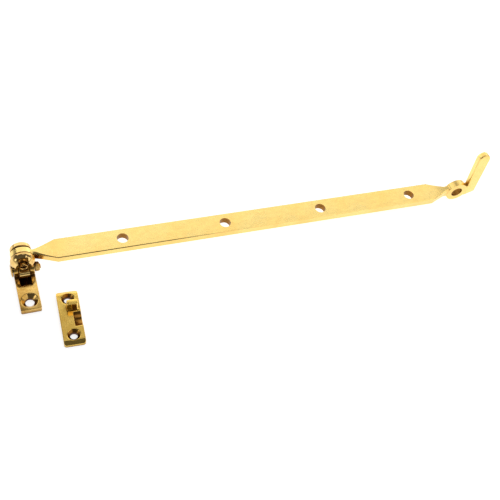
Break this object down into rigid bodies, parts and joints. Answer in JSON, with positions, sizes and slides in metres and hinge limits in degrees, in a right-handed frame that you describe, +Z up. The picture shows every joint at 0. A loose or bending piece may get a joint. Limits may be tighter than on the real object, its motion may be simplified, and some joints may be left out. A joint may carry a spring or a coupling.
{
  "type": "casement window stay",
  "caption": "Brass peg stay for a casement window: flat holed arm with eye, ring and lift handle, on a tilting and swivelling knuckle and screw-down bracket, with a separate peg keeper.",
  "frame": {"origin": "on the surface that the bracket is screwed to, under the pivot screw's axis and midway across the bracket", "axes": "+X along the arm from the bracket towards the lift handle, +Y away from the bracket's screw hole, +Z up, square to the surface the stay lies on"},
  "size_m": [0.2743, 0.0575, 0.0343],
  "materials": {
    "arm_brass": "polished and lacquered",
    "bracket_brass": "polished, darker gold",
    "knuckle_brass": "polished",
    "keeper_brass": "polished",
    "fixing_brass": "turned"
  },
  "bodies": {
    "bracket": {"mounting_bracket": "bracket_brass", "pivot_screw": "fixing_brass", "pivot_nut": "fixing_brass"},
    "knuckle": {"knuckle": "knuckle_brass", "swivel_rivet": "knuckle_brass", "swivel_washer": "fixing_brass"},
    "arm": {"stay_arm": "arm_brass"},
    "keeper": {"keeper_plate": "keeper_brass", "keeper_peg": "keeper_brass"}
  },
  "joints": [
    {"name": "knuckle_tilt", "type": "hinge", "parent": "bracket", "child": "knuckle", "pos_m": [0, 0, 0.0063], "axis": [1, 0, 0], "range_deg": [0, 85]},
    {"name": "arm_swing", "type": "hinge", "parent": "knuckle", "child": "arm", "pos_m": [0, 0.00475, 0.011], "axis": [0, -1, 0], "range_deg": [0, 176]},
    {"name": "keeper_lift", "type": "slide", "parent": "bracket", "child": "keeper", "axis": [0, 0, 1], "range_m": [0, 0.05]}
  ]
}
